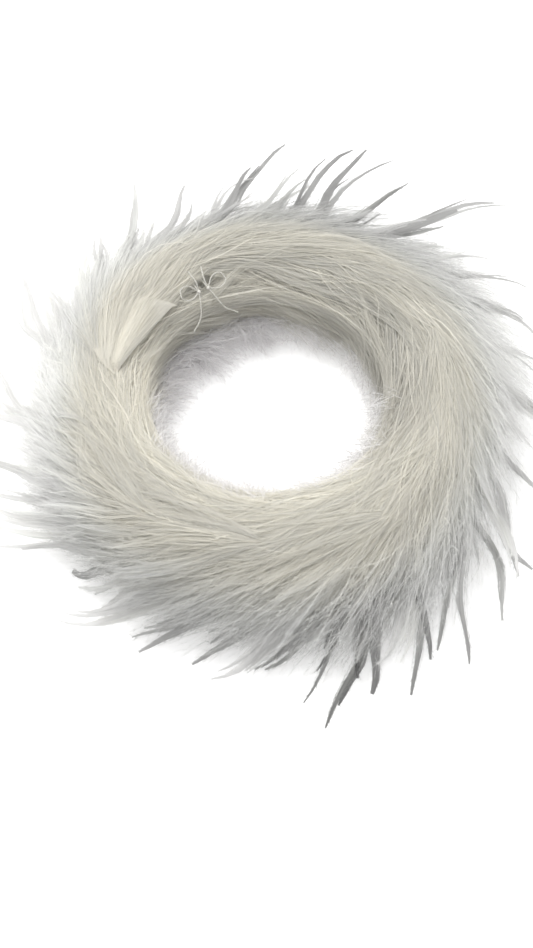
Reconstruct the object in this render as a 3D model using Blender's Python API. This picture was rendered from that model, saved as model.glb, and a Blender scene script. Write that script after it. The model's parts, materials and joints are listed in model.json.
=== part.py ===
"""Short feather boa closed into a ring: twelve feathered cord segments, end caps and tie strings.

World frame: the ring's axis is +Z, the table is z = 0 and the two ends meet at CLOSURE_DEG.
Each segment has its own frame at the middle of its cord: u along the cord, clockwise seen from
above, v outwards from the ring's axis, and z up. Sizes are in millimetres until mesh_from().
"""

from math import cos, pi, radians, sin, sqrt

import bmesh
import bpy
from mathutils import Matrix, Vector

MM = 0.001

# Ring
SEGMENTS = 12
ROOT_SEGMENT = 7
CLOSURE_DEG = 120.0
STEP_DEG = 360.0 / SEGMENTS
RING_R = 80.0
CORD_Z = 20.0

# Cord and the ball and cup where two segments meet
CORD_R = 2.5
CUP_R = 2.8
CUP_RIM = 4.0
END_SETBACK = 3.2

# Metal end caps, each with a neck for the tie string
CAP_R = 3.3
CAP_BORE_R = 2.8
CAP_START, CAP_END = 0.5, 8.0
CAP_CHAMFER = 0.5
CAP_FLOOR = 0.2
BORE_CONE, BORE_CONE_STEP = 0.4, 1.2
NECK_START, NECK_END, NECK_R = 1.1, 2.2, 2.3
CRIMP_START, CRIMP_END = 4.6, 6.0
CRIMP_SLOPE, CRIMP_DEPTH = 0.4, 0.2

# Tie strings
STRING_R = 0.45
STRING_OFFSET = 1.65
STRING_COIL_R = 2.95
STRING_RISE = 28.4
STRING_LEAN_DEG = 40.0
KNOT_R = 1.2
KNOT_FLAT = 0.12

# Plume: a bulge round the cord, and a low and a high lobe that sweep outwards and clockwise
BULGE_U, BULGE_V, BULGE_Z = 20.2, 26.0, 24.0
BULGE_FULLNESS = 2.7
BULGE_CUT_U = 17.4
FLUTES, FLUTE_DEPTH, FLUTE_TWIST = 6, 0.03, 0.05
TUNNEL_V, TUNNEL_Z, TUNNEL_OFFSET = 5.8, 4.5, 1.6
LOBE_SPINE = ((0, 2, -2), (5, 18, -4), (21, 34, -5), (43, 50, -5), (68, 63, -7))
LOBE_WIDTH = (12.0, 11.0, 10.0, 8.2, 1.4)
LOBE_THICK = (11.0, 9.0, 8.0, 6.0, 1.2)
CREST_SPINE = ((-6, 0, 8), (-4, 14, 14), (4, 32, 14), (19, 50, 12), (38, 64, 8))
CREST_WIDTH = (9.0, 10.0, 9.0, 6.5, 1.2)
CREST_THICK = (8.0, 8.0, 6.5, 5.0, 1.0)

# Quill, laid along the cord and then out through the plume
QUILL_OFFSET = 4.4
QUILL_LAY = (-14.0, -8.0, -2.0)
QUILL_SPINE = ((4.5, 12.5, -1.5), (14, 26, -4.0), (28, 38.5, -5.0), (42, 48, -5.5))
QUILL_R = (1.1, 1.3, 1.3, 1.2, 1.0, 0.8, 0.45)
QUILL_GAP = 0.5

# Binding: thread wound round the cord and the quill
BIND_FROM, BIND_TO, BIND_TURNS = -9.5, -4.0, 3
BIND_IN_R, BIND_WALL, BIND_RIDGE = 2.8, 0.55, 0.3
BIND_REACH = 3.4

COLOURS = {
    "plume": (0.86, 0.84, 0.77, 1),
    "quill": (0.80, 0.74, 0.58, 1),
    "cord": (0.78, 0.76, 0.70, 1),
    "binding": (0.88, 0.87, 0.84, 1),
    "end_cap": (0.55, 0.58, 0.63, 1),
    "tie_string": (0.93, 0.93, 0.91, 1),
}


def clear_scene():
    for obj in list(bpy.data.objects):
        bpy.data.objects.remove(obj)


def material(kind):
    made = bpy.data.materials.new(kind)
    made.use_nodes = True
    shader = made.node_tree.nodes["Principled BSDF"]
    shader.inputs["Base Color"].default_value = COLOURS[kind]
    shader.inputs["Roughness"].default_value = 0.35 if kind == "end_cap" else 0.9
    shader.inputs["Metallic"].default_value = 1.0 if kind == "end_cap" else 0.0
    return made


def spread(values, count):
    """`count` values along a smooth curve through `values`, which are numbers or vectors."""
    last = len(values) - 1
    found = []
    for i in range(count):
        at = last * i / (count - 1)
        k = min(int(at), last - 1)
        t = at - k
        p1, p2 = values[k], values[k + 1]
        p0 = values[k - 1] if k else p1 * 2 - p2
        p3 = values[k + 2] if k + 2 <= last else p2 * 2 - p1
        found.append(
            p1
            + (p2 - p0) * (0.5 * t)
            + (p0 * 2 - p1 * 5 + p2 * 4 - p3) * (0.5 * t**2)
            + (p1 * 3 - p0 - p2 * 3 + p3) * (0.5 * t**3)
        )
    return found


def beside_cord(s, d=0.0, z=0.0):
    """The point `s` along the cord from the segment's middle and `d` outside its centreline."""
    return Vector(((RING_R + d) * sin(s / RING_R), (RING_R + d) * cos(s / RING_R) - RING_R, z))


def mesh_from(name, rings, closed=False):
    """A mesh of quads between rings of points, capped at both ends unless it closes on itself."""
    bm = bmesh.new()
    grid = [[bm.verts.new(Vector(p) * MM) for p in ring] for ring in rings]
    for low, high in zip(grid, grid[1:] + (grid[:1] if closed else [])):
        for i in range(len(low)):
            j = (i + 1) % len(low)
            bm.faces.new((low[i], low[j], high[j], high[i]))
    if not closed:
        for ring in (grid[0], grid[-1]):
            middle = bm.verts.new(sum((v.co for v in ring), Vector()) / len(ring))
            for i, v in enumerate(ring):
                bm.faces.new((v, ring[(i + 1) % len(ring)], middle))
    bmesh.ops.recalc_face_normals(bm, faces=bm.faces)
    mesh = bpy.data.meshes.new(name)
    bm.to_mesh(mesh)
    bm.free()
    return mesh


def tube(name, path, widths, sides, thicks=None, closed=False):
    """A tube round `path`: half-widths across the path in plan, and half-thicknesses in height."""
    rings = []
    side = None
    for i, centre in enumerate(path):
        ahead = path[(i + 1) % len(path)] if closed or i < len(path) - 1 else centre
        behind = path[i - 1] if closed or i else centre
        along = (ahead - behind).normalized()
        start = Vector((0, 0, 1)) if abs(along.z) < 0.9 else Vector((0, 1, 0))
        side = (start.cross(along) if side is None else side - along * side.dot(along)).normalized()
        up = along.cross(side)
        a, b = widths[i], (thicks or widths)[i]
        turns = [2 * pi * k / sides for k in range(sides)]
        rings.append([centre + side * (a * cos(t)) + up * (b * sin(t)) for t in turns])
    return mesh_from(name, rings, closed)


def solid(name, mesh):
    """A temporary object for a Boolean."""
    obj = bpy.data.objects.new(name, mesh)
    bpy.context.scene.collection.objects.link(obj)
    return obj


def boolean(name, base, steps):
    """The mesh of `base` after each (operation, mesh) in `steps`."""
    body = solid(name, base)
    tools = [body]
    for operation, mesh in steps:
        tool = solid(mesh.name, mesh)
        tools.append(tool)
        modifier = body.modifiers.new(mesh.name, "BOOLEAN")
        modifier.operation, modifier.solver, modifier.object = operation, "EXACT", tool
    graph = bpy.context.evaluated_depsgraph_get()
    result = bpy.data.meshes.new_from_object(body.evaluated_get(graph))
    result.name = name
    for tool in tools:
        bpy.data.objects.remove(tool)
    return result


def ball(name, centre, r, rings=5, sides=10):
    """A ball with small flats at its top and bottom."""
    path, radii = [], []
    for i in range(rings + 2):
        turn = pi * (KNOT_FLAT + (1 - 2 * KNOT_FLAT) * i / (rings + 1))
        path.append(centre + Vector((0, 0, -r * cos(turn))))
        radii.append(r * sin(turn))
    circle = [2 * pi * k / sides for k in range(sides)]
    found = [[p + Vector((a * cos(t), a * sin(t), 0)) for t in circle] for p, a in zip(path, radii)]
    return mesh_from(name, found)


def cord_mesh(name, ball_end, cup_end, sides=10, steps=4):
    """A cord segment. A free end stops END_SETBACK short, inside its end cap."""
    half = RING_R * radians(STEP_DEG / 2)
    rings = []

    def ring(s, radius):
        turns = [2 * pi * k / sides for k in range(sides)]
        rings.append([beside_cord(s, radius * cos(t), radius * sin(t)) for t in turns])

    if cup_end:
        for share in (0.2, 0.6, 1.0):
            r = CORD_R * share
            ring(-half + sqrt(CUP_R**2 - r**2), r)
    else:
        ring(-half + END_SETBACK, CORD_R)
    last = half if ball_end else half - END_SETBACK
    first = -half + (CUP_RIM if cup_end else END_SETBACK)
    for i in range(0 if cup_end else 1, steps + 1):
        ring(first + (last - first) * i / steps, CORD_R)
    if ball_end:
        for turn in (0.35, 0.75):
            ring(half + CORD_R * sin(turn * pi / 2), CORD_R * cos(turn * pi / 2))
    return mesh_from(name, rings)


def quill_path(steps=8):
    laid = [beside_cord(s, QUILL_OFFSET) for s in QUILL_LAY]
    return spread(laid + [Vector(p) for p in QUILL_SPINE], steps)


def quill_mesh(name, gap=0.0, sides=6, steps=8):
    return tube(name, quill_path(steps), [r + gap for r in spread(QUILL_R, steps)], sides)


def bulge_mesh(name, sides=16, steps=6):
    """The fluted mass of flues round the cord, narrower on the ring's inner side."""
    rings = []
    hinge_r = RING_R * cos(radians(STEP_DEG / 2))
    for i in range(steps + 1):
        u = BULGE_CUT_U * sin(pi / 2 * (2 * i / steps - 1))
        share = (1 - abs(u / BULGE_U) ** BULGE_FULLNESS) ** (1 / BULGE_FULLNESS)
        ring = []
        for k in range(sides):
            turn = 2 * pi * k / sides
            flute = 1 - FLUTE_DEPTH * (1 + cos(FLUTES * (turn + FLUTE_TWIST * u)))
            v = BULGE_V * share * flute * cos(turn)
            z = BULGE_Z * share * flute * sin(turn)
            ring.append((u * min(1, (RING_R + v) / hinge_r), v, z))
        rings.append(ring)
    return mesh_from(name, rings)


def lobe_mesh(name, spine, widths, thicks, steps, sides=8):
    path = spread([Vector(p) for p in spine], steps)
    return tube(name, path, spread(widths, steps), sides, spread(thicks, steps))


def tunnel_mesh(name, sides=12, steps=4):
    half = RING_R * radians(STEP_DEG / 2)
    rings = []
    for i in range(steps + 1):
        s = -half + 2 * half * i / steps
        turns = [2 * pi * k / sides for k in range(sides)]
        rings.append(
            [
                beside_cord(s, TUNNEL_OFFSET + TUNNEL_V * cos(t), TUNNEL_Z * sin(t))
                for t in turns
            ]
        )
    return mesh_from(name, rings)


def box_mesh(name, low, high):
    def corners(z):
        return [(low[0], low[1], z), (high[0], low[1], z), (high[0], high[1], z), (low[0], high[1], z)]

    return mesh_from(name, [corners(low[2]), corners(high[2])])


def plume_mesh(name):
    reach = 2 * RING_R
    below_table = box_mesh("below_table", (-reach, -reach, -CORD_Z - reach), (reach, reach, -CORD_Z))
    return boolean(
        name,
        bulge_mesh("bulge"),
        (
            ("UNION", lobe_mesh("lobe", LOBE_SPINE, LOBE_WIDTH, LOBE_THICK, 7)),
            ("UNION", lobe_mesh("crest", CREST_SPINE, CREST_WIDTH, CREST_THICK, 6)),
            ("DIFFERENCE", tunnel_mesh("tunnel")),
            ("DIFFERENCE", quill_mesh("quill_channel", QUILL_GAP)),
            ("DIFFERENCE", below_table),
        ),
    )


def binding_mesh(name, sides=12):
    """A ridged sleeve round the cord and the quill laid against it."""

    def ring(s, r):
        found = []
        for k in range(sides):
            turn = 2 * pi * (k + 0.5) / sides
            shift = BIND_REACH if cos(turn) > 0 else 0.0
            found.append(beside_cord(s, shift + r * cos(turn), r * sin(turn)))
        return found

    pitch = (BIND_TO - BIND_FROM) / BIND_TURNS
    outer = BIND_IN_R + BIND_WALL
    rings = [ring(BIND_FROM, BIND_IN_R), ring(BIND_FROM, outer)]
    for i in range(BIND_TURNS):
        start = BIND_FROM + i * pitch
        rings.append(ring(start + pitch / 2, outer + BIND_RIDGE))
        rings.append(ring(start + pitch, outer))
    rings.append(ring(BIND_TO, BIND_IN_R))
    return mesh_from(name, rings, closed=True)


def cap_mesh(name, way, sides=16):
    """A crimped cup over the cord's end. `way` is 1 where the cord runs on clockwise, else -1."""
    profile = (
        (CAP_START, CAP_R - CAP_CHAMFER),
        (CAP_START + CAP_CHAMFER / 2, CAP_R),
        (NECK_START, CAP_R),
        (NECK_START, NECK_R),
        (NECK_END, NECK_R),
        (NECK_END, CAP_R),
        (CRIMP_START, CAP_R),
        (CRIMP_START + CRIMP_SLOPE, CAP_R - CRIMP_DEPTH),
        (CRIMP_END - CRIMP_SLOPE, CAP_R - CRIMP_DEPTH),
        (CRIMP_END, CAP_R),
        (CAP_END, CAP_R),
        (CAP_END, CAP_BORE_R),
        (NECK_END + CAP_FLOOR + BORE_CONE, CAP_BORE_R),
        (NECK_END + CAP_FLOOR, CAP_BORE_R - BORE_CONE_STEP),
    )
    turns = [2 * pi * k / sides for k in range(sides)]
    rings = [[beside_cord(way * s, r * cos(t), r * sin(t)) for t in turns] for s, r in profile]
    return mesh_from(name, rings)


def on_string(u, lean_deg, rho):
    """A point of a tie string, by its angle from the vertical towards the ring's middle."""
    turn = radians(STRING_LEAN_DEG + lean_deg)
    return Vector((u, -rho * sin(turn), rho * cos(turn)))


def thread(name, path, steps, closed=False, sides=6):
    ends = path[:1] if closed else []
    points = spread(path + ends, steps + (1 if closed else 0))
    points = points[:-1] if closed else points
    return tube(name, points, [STRING_R] * len(points), sides, closed=closed)


def string_mesh(name, way):
    """A coil round the cap's neck, a leg up through the plumes, a knot, a loop and two tails."""
    offset = way * STRING_OFFSET
    turns = [2 * pi * k / 16 for k in range(16)]
    coil = [Vector((offset, STRING_COIL_R * sin(t), STRING_COIL_R * cos(t))) for t in turns]
    knot = on_string(way * 2.6, 0, STRING_RISE)
    leg = [
        on_string(offset, -STRING_LEAN_DEG, STRING_COIL_R),
        on_string(offset, -STRING_LEAN_DEG, 12),
        on_string(way * 2.0, -22, 20.5),
        knot,
    ]
    loop = [
        knot,
        on_string(way * 6.5, -9, STRING_RISE + 1.0),
        on_string(way * 11.0, -9, STRING_RISE + 1.2),
        on_string(way * 12.0, 0, STRING_RISE + 1.4),
        on_string(way * 7.5, 4, STRING_RISE + 1.2),
    ]
    tail = [
        knot,
        on_string(way * 4.5, 12, STRING_RISE + 1.2),
        on_string(way * 7.0, 24, STRING_RISE + 2.0),
        on_string(way * 12.5, 33, STRING_RISE + 3.0),
    ]
    short_tail = [
        knot,
        on_string(way * 2.2, -10, STRING_RISE + 1.0),
        on_string(way * 3.6, -22, STRING_RISE + 1.5),
    ]
    return boolean(
        name,
        ball("knot", knot, KNOT_R),
        (
            ("UNION", thread("leg", leg, 8)),
            ("UNION", tube("coil", coil, [STRING_R] * len(coil), 6, closed=True)),
            ("UNION", thread("loop", loop, 14, closed=True)),
            ("UNION", thread("tail", tail, 9)),
            ("UNION", thread("short_tail", short_tail, 6)),
        ),
    )


def frame_at(deg):
    """The frame of the cord at an angle round the ring: u clockwise, v outwards, z up."""
    turn = radians(deg)
    place = Vector((RING_R * cos(turn), RING_R * sin(turn), CORD_Z)) * MM
    return Matrix.Translation(place) @ Matrix.Rotation(turn - pi / 2, 4, "Z")


def empty(name, frame, parent=None):
    obj = bpy.data.objects.new(name, None)
    obj.empty_display_size = 5 * MM
    bpy.context.scene.collection.objects.link(obj)
    hang(obj, frame, parent)
    return obj


def hang(obj, frame, parent):
    """Places `obj` at a world frame, as a child of `parent`."""
    obj.matrix_world = frame
    if parent:
        obj.parent = parent
        obj.matrix_parent_inverse = Matrix.Identity(4)
        obj.matrix_basis = FRAMES[parent.name].inverted() @ frame
    FRAMES[obj.name] = frame.copy()


def place(name, mesh, kind, frame, pivot):
    mesh.materials.clear()
    mesh.materials.append(MATERIALS[kind])
    mesh.shade_smooth()
    mesh.set_sharp_from_angle(angle=radians(42))
    obj = bpy.data.objects.new(name, mesh)
    bpy.context.scene.collection.objects.link(obj)
    hang(obj, frame, pivot)
    return obj


def make_pivots():
    """One empty on each segment's hinge, chained outwards both ways from the root segment."""
    start = CLOSURE_DEG
    pivots = {ROOT_SEGMENT: empty("pivot_root", frame_at(start - (ROOT_SEGMENT - 0.5) * STEP_DEG))}
    for n in range(ROOT_SEGMENT + 1, SEGMENTS + 1):
        pivots[n] = empty(f"pivot_{n:02d}", frame_at(start - (n - 1) * STEP_DEG), pivots[n - 1])
    for n in range(ROOT_SEGMENT - 1, 0, -1):
        pivots[n] = empty(f"pivot_{n:02d}", frame_at(start - n * STEP_DEG), pivots[n + 1])
    return pivots


def main():
    clear_scene()
    MATERIALS.update({kind: material(kind) for kind in COLOURS})
    pivots = make_pivots()
    plume, quill, binding = plume_mesh("plume"), quill_mesh("quill"), binding_mesh("binding")
    for n in range(1, SEGMENTS + 1):
        frame = frame_at(CLOSURE_DEG - (n - 0.5) * STEP_DEG)
        cord = cord_mesh("cord", ball_end=n < SEGMENTS, cup_end=n > 1)
        place(f"cord_{n:02d}", cord, "cord", frame, pivots[n])
        place(f"quill_{n:02d}", quill, "quill", frame, pivots[n])
        place(f"binding_{n:02d}", binding, "binding", frame, pivots[n])
        place(f"plume_{n:02d}", plume, "plume", frame, pivots[n])
    closure = frame_at(CLOSURE_DEG)
    for end, way, n in (("start", 1, 1), ("finish", -1, SEGMENTS)):
        place(f"end_cap_{end}", cap_mesh("end_cap", way), "end_cap", closure, pivots[n])
        swing = empty(f"pivot_string_{end}", closure, pivots[n])
        place(f"tie_string_{end}", string_mesh("tie_string", way), "tie_string", closure, swing)


MATERIALS = {}
FRAMES = {}

main()
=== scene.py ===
"""The looks of the feather boa: loose ostrich flues, down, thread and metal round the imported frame."""

import json
import math

import bpy
import numpy as np
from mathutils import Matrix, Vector

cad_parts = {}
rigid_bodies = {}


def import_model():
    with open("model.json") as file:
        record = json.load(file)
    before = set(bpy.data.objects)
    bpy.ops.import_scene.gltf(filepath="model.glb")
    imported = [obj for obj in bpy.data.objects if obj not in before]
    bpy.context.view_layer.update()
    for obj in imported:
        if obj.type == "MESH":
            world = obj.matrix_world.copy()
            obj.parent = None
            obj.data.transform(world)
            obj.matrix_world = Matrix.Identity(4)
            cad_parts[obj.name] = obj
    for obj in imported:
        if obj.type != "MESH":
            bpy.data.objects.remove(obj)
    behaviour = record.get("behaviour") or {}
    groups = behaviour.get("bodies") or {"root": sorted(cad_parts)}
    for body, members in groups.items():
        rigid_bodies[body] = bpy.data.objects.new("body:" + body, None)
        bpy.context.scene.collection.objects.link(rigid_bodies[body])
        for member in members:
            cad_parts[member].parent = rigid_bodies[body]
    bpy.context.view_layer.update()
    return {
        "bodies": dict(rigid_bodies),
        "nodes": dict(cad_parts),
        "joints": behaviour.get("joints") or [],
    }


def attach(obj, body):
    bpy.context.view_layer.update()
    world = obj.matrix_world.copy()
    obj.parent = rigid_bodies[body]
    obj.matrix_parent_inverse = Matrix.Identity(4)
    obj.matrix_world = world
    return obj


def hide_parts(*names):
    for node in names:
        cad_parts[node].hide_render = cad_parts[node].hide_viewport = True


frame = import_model()

MM = 0.001

JOINTS = {joint["name"]: joint for joint in frame["joints"]}
CLOSURE = JOINTS["swing_string_start"]["pos_m"]
RING_R = math.hypot(CLOSURE[0], CLOSURE[1])
CORD_Z = CLOSURE[2]
CLOSURE_ANGLE = math.atan2(CLOSURE[1], CLOSURE[0])
SEGMENTS = sum(name.startswith("segment_") for name in frame["bodies"])
STEP = 2 * math.pi / SEGMENTS

# The soft body round the cord
BODY_R = 25.0 * MM
CORE_R = 17.0 * MM  # the core of down, on its lower inner side and away from the tied ends
FLOOR_GAP = 0.6 * MM  # centre lines are kept at least this high above the table
LOWEST = 0.1 * MM  # no point of any strand is lower than this
HOLE_R = 58.5 * MM  # flow() keeps its centre lines outside this radius
EDGE = 164.5 * MM  # settle() keeps centre lines within this distance in x and in y
SOFTNESS = 0.5  # how far the strands are shaded as one soft mass, from 0 to 1
THREAD_SLACK = 0.2 * MM  # how far the surface of the tie strings is drawn inwards
SEED = 100

# (degrees round the ring, value): how far out the haze reaches (mm), how much lighter or darker
# the fringe, the crest and the inner wall are made, and where the grey of the fringe starts (mm).
# The fringe is painted lighter or darker round the ring and the inner wall darker where shade falls,
# as painted light and shade; the crest is darker, partly in its own tone and partly as painted shade
REACH = (
    (-180, 118), (-150, 122), (-134, 113), (-120, 120), (-95, 122), (-75, 132), (-50, 130), (-20, 122),
    (10, 130), (40, 140), (75, 136), (105, 132), (135, 122), (160, 112),
)
# Painted light and shade on the fringe, round the ring
FRINGE_PAINTED_LIGHT_AND_SHADE = (
    (-180, 0.12), (-140, -0.05), (-105, -0.23), (-60, -0.1),
    (-25, 0.02), (20, 0.03), (75, -0.23), (130, -0.03),
)
# A darker crest: partly the feathers' own tone, partly painted shade
CREST_TONE_AND_PAINTED_SHADE = ((-180, -0.09), (-90, -0.08), (-30, -0.07), (20, -0.12), (75, -0.15), (130, -0.12))
GREY_FROM = ((-180, 76), (-130, 93), (-60, 97), (-20, 88), (90, 88), (150, 80))
# Painted shade on the inner wall
WALL_PAINTED_SHADE = ((-150, 0), (-60, -0.05), (-15, -0.26), (30, -0.25), (75, -0.12), (140, -0.12), (165, 0))

# The folded feather: the place of its root and of its far end (degrees, mm), and its widths (mm)
FOLD_ROOT = (180, 71)
FOLD_END = (128, 64)
FOLD_STOPS = (0, 0.02, 0.07, 0.35, 0.75, 1)
FOLD_WIDTHS = (0, 5, 8, 19, 33, 40)
FOLD_BOW = 1.5 * MM  # how far the inner edge bows outwards between its ends
FOLD_CLEAR = 1.6 * MM  # how far strands pass below the inner part of the folded feather
UNLIMITED = 1.0  # a height that no strand reaches

# The plumage parts over the tied ends, upwards and towards the middle of the ring
GAP_R = 5.2 * MM
GAP_AXIS = np.array([-0.56 * math.cos(CLOSURE_ANGLE), -0.56 * math.sin(CLOSURE_ANGLE), 0.828])


def smooth(x):
    x = np.clip(x, 0, 1)
    return x * x * (3 - 2 * x)


def top_height(r):
    """Height of the upper face of the plumage at a distance r from the ring's axis."""
    off = (r - RING_R) / BODY_R
    dome = np.sqrt(np.clip(1 - np.clip(off, -1, 0.72) ** 2, 0, 1))
    skirt = smooth((off - 0.5) / 3.0)
    return CORD_Z + BODY_R * dome * (1 - skirt) - 8 * MM * skirt


def under_height(r):
    """Height of the lower face of the plumage at a distance r from the ring's axis."""
    off = (r - RING_R) / BODY_R
    inner = np.sqrt(np.clip(1 - np.clip(off, -1, 0) ** 2, 0, 1))
    return np.maximum(CORD_Z - BODY_R * inner, FLOOR_GAP)


def spot(angle, r):
    return r * np.cos(angle), r * np.sin(angle)


def around(table, x, y):
    """The value at each place from a table of (degrees round the ring, value)."""
    at, value = np.array(table, float).T
    return np.interp(np.degrees(np.arctan2(y, x)), at, value, period=360)


def fold_frame():
    """(root, step to the far end, unit vector outwards) of the folded feather's inner edge."""
    root = np.array(spot(math.radians(FOLD_ROOT[0]), FOLD_ROOT[1] * MM))
    run = np.array(spot(math.radians(FOLD_END[0]), FOLD_END[1] * MM)) - root
    return root, run, np.array([-run[1], run[0]]) / np.linalg.norm(run)


def fold_place(t, u):
    """(x, y) on the folded feather, t along it and u across it from its inner edge."""
    root, run, out = fold_frame()
    wide = np.interp(t, FOLD_STOPS, FOLD_WIDTHS) * MM + np.clip(t - 1, 0, 1) * 20 * MM
    away = u * wide + FOLD_BOW * np.sin(math.pi * np.clip(t, 0, 1))
    return root[0] + run[0] * t + out[0] * away, root[1] + run[1] * t + out[1] * away


def fold_height(x, y, t, u):
    """Height of the folded feather's face: proud at its inner edge and tucked in elsewhere."""
    across = np.clip(u, 0, 1)
    overhang = 8 * MM * (1 - across)
    crown = 1.6 * MM * np.sin(math.pi * across**0.6) * np.clip(t * 4, 0, 1)
    lip = 1.8 * MM * (1 - across) ** 10 + 8 * MM * smooth((across - 0.5) / 0.5)
    ends = 4 * MM * smooth(1 - t / 0.1) + 12 * MM * smooth((t - 0.8 + 0.3 * across) / 0.22)
    proud = 2.2 * MM - 3 * MM * smooth((across - 0.2) / 0.45)
    return top_height(np.hypot(x, y) + overhang) + proud + crown - lip - ends


def under_fold(x, y):
    """The greatest height that a strand may have at each place, to pass under the fold."""
    root, run, out = fold_frame()
    t = ((x - root[0]) * run[0] + (y - root[1]) * run[1]) / (run @ run)
    wide = np.interp(t, FOLD_STOPS, FOLD_WIDTHS) * MM
    bow = FOLD_BOW * np.sin(math.pi * np.clip(t, 0, 1))
    away = (x - root[0]) * out[0] + (y - root[1]) * out[1] - bow
    u = away / np.maximum(wide, 0.1 * MM)
    covered = (t > -0.01) & (t < 0.95) & (u > -0.1) & (u < 0.8)
    over = 9 * MM * (smooth((t - 0.68 + 0.3 * u) / 0.2) + smooth((u - 0.2) / 0.35))
    return np.where(covered, fold_height(x, y, t, u) - FOLD_CLEAR + over, UNLIMITED)


def lay_over(x, y, layer, rise):
    """Heights that lay each flue on the body; rise runs from 0, just under the surface, to 1.

    Flues lie close together over the crest, and at all heights in the fringe and the inner wall.
    """
    r = np.hypot(x, y)
    low, high = under_height(r), top_height(r)
    loose = 0.1 + 0.9 * smooth((np.abs(r - RING_R - 4 * MM) - 10 * MM) / (14 * MM))
    return high - (1 - layer[:, None]) * (high - low) * loose - 4 * MM * (1 - rise)


def flow(
    rng, angle, lean, layer, length, steps, bend=(-6, 3), sway=0.1, root_r=RING_R, climb=30 * MM
):
    """Centre lines that leave the cord clockwise, curve round with it and stay out of the hole.

    lean is the angle outwards from the tangent, and layer runs from 0 on the table to 1 on the
    upper face. bend (mean and spread, per metre) and sway (radians) say how they curve and wave.
    """
    n = len(angle)
    s = length[:, None] * np.linspace(0, 1, steps)
    wave = rng.uniform(0, 2 * math.pi, n)[:, None] + s * rng.uniform(50, 105, n)[:, None]
    heading = (angle - math.pi / 2 + lean)[:, None] + rng.normal(*bend, n)[:, None] * s
    heading = heading + sway * rng.normal(0, 1, n)[:, None] * np.sin(wave) * smooth(s / (40 * MM))
    ds = np.diff(s, axis=1, prepend=0)
    x, y = spot(angle[:, None], root_r)
    x = x + np.cumsum(np.cos(heading) * ds, axis=1)
    y = y + np.cumsum(np.sin(heading) * ds, axis=1)
    r, soft = np.hypot(x, y), 7 * MM
    kept = np.where(r < HOLE_R + soft, HOLE_R + soft * np.exp((r - HOLE_R - soft) / soft), r) / r
    x, y = x * kept, y * kept
    z = lay_over(x, y, layer, smooth((s + 2 * MM) / climb))
    return np.stack([x, y, z], 2)


def stop_at(path, share):
    """Each path cut back to where it first passes a share of the haze's reach."""
    x, y = path[..., 0], path[..., 1]
    over = np.hypot(x, y) > share[:, None] * around(REACH, x, y) * MM
    first = np.where(over.any(1), over.argmax(1), path.shape[1] - 1)
    return cut_back(path, np.maximum(first, 2) / (path.shape[1] - 1))


def reach_out(rng, tip_angle, tip_r, tip_z, tip_lean, back, layer, steps, sway):
    """Centre lines that follow the ring from their roots and then swing out to given tips."""
    start = tip_angle + back
    x0, y0 = spot(start, RING_R + 4 * MM)
    x3, y3 = spot(tip_angle, tip_r)
    pull = np.hypot(x3 - x0, y3 - y0) * 0.36
    h0 = start - math.pi / 2 + 0.05
    h3 = tip_angle - math.pi / 2 + tip_lean
    t = np.linspace(0, 1, steps)[None]
    a, b, c, d = (1 - t) ** 3, 3 * t * (1 - t) ** 2, 3 * t**2 * (1 - t), t**3

    def curve(p0, p3, way):
        return (
            a * p0[:, None]
            + b * (p0 + way(h0) * pull)[:, None]
            + c * (p3 - way(h3) * pull)[:, None]
            + d * p3[:, None]
        )

    x, y = curve(x0, x3, np.cos), curve(y0, y3, np.sin)
    n = len(tip_angle)
    wave = rng.uniform(0, 2 * math.pi, n)[:, None] + t * rng.uniform(6, 11, n)[:, None]
    off = sway * rng.uniform(0.5, 1.2, n)[:, None] * np.sin(wave) * smooth(t * 1.4) * (1 - d)
    x = x - np.sin(h3)[:, None] * off
    y = y + np.cos(h3)[:, None] * off
    z = lay_over(x, y, layer, smooth(t * 3.2 + 0.1))
    z = z + (tip_z[:, None] - z) * smooth((t - 0.5) * 2)
    return np.stack([x, y, z], 2)


def shell_normal(path):
    """The way the surface of the plumage faces at each point."""
    x, y, z = np.moveaxis(path, -1, 0)
    r = np.hypot(x, y)
    out = 0.5 * np.clip(r - RING_R, -BODY_R, BODY_R) / r
    up = np.maximum(z - CORD_Z + 6 * MM + 0.6 * np.maximum(r - RING_R, 0), 4 * MM)
    normal = np.stack([out * x, out * y, up], -1)
    return normal / np.linalg.norm(normal, axis=-1, keepdims=True)


def axes(path):
    """(along, side, up) unit vectors at each point of each path, up facing out of the plumage."""
    along = np.gradient(path, axis=1)
    along /= np.linalg.norm(along, axis=2, keepdims=True) + 1e-12
    side = np.cross(along, shell_normal(path))
    side /= np.linalg.norm(side, axis=2, keepdims=True) + 1e-12
    return along, side, np.cross(side, along)


def wander(rng, n, steps, size, slow=3, fast=9):
    """Sideways waves that start from nothing at the root."""
    t = np.linspace(0, 1, steps)[None, :, None]
    phase = rng.uniform(0, 2 * math.pi, (n, 1, 3))
    rate = rng.uniform(slow, fast, (n, 1, 3))
    return np.sin(phase + rate * t) * rng.normal(0, 1, (n, 1, 3)) * size * smooth(t * 2)


def cut_back(path, share):
    """Each path cut back to a share of its length, with as many points."""
    n, k, _ = path.shape
    at = np.linspace(0, 1, k)[None] * share[:, None] * (k - 1)
    low = np.clip(at.astype(int), 0, k - 2)
    f = (at - low)[..., None]
    rows = np.arange(n)[:, None]
    return path[rows, low] * (1 - f) + path[rows, low + 1] * f


def settle(path):
    """Keeps strands above the table, under the folded feather and inside the edge."""
    z = np.minimum(path[..., 2], under_fold(path[..., 0], path[..., 1]))
    path[..., 2] = np.where(z < 4 * MM, FLOOR_GAP + 3.4 * MM * np.exp((z - 4 * MM) / (3.4 * MM)), z)
    soft = 10 * MM
    far = np.abs(path[..., :2])
    near = EDGE - soft * np.exp(-(far - EDGE + soft) / soft)
    path[..., :2] = np.sign(path[..., :2]) * np.where(far > EDGE - soft, near, far)
    return path


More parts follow.
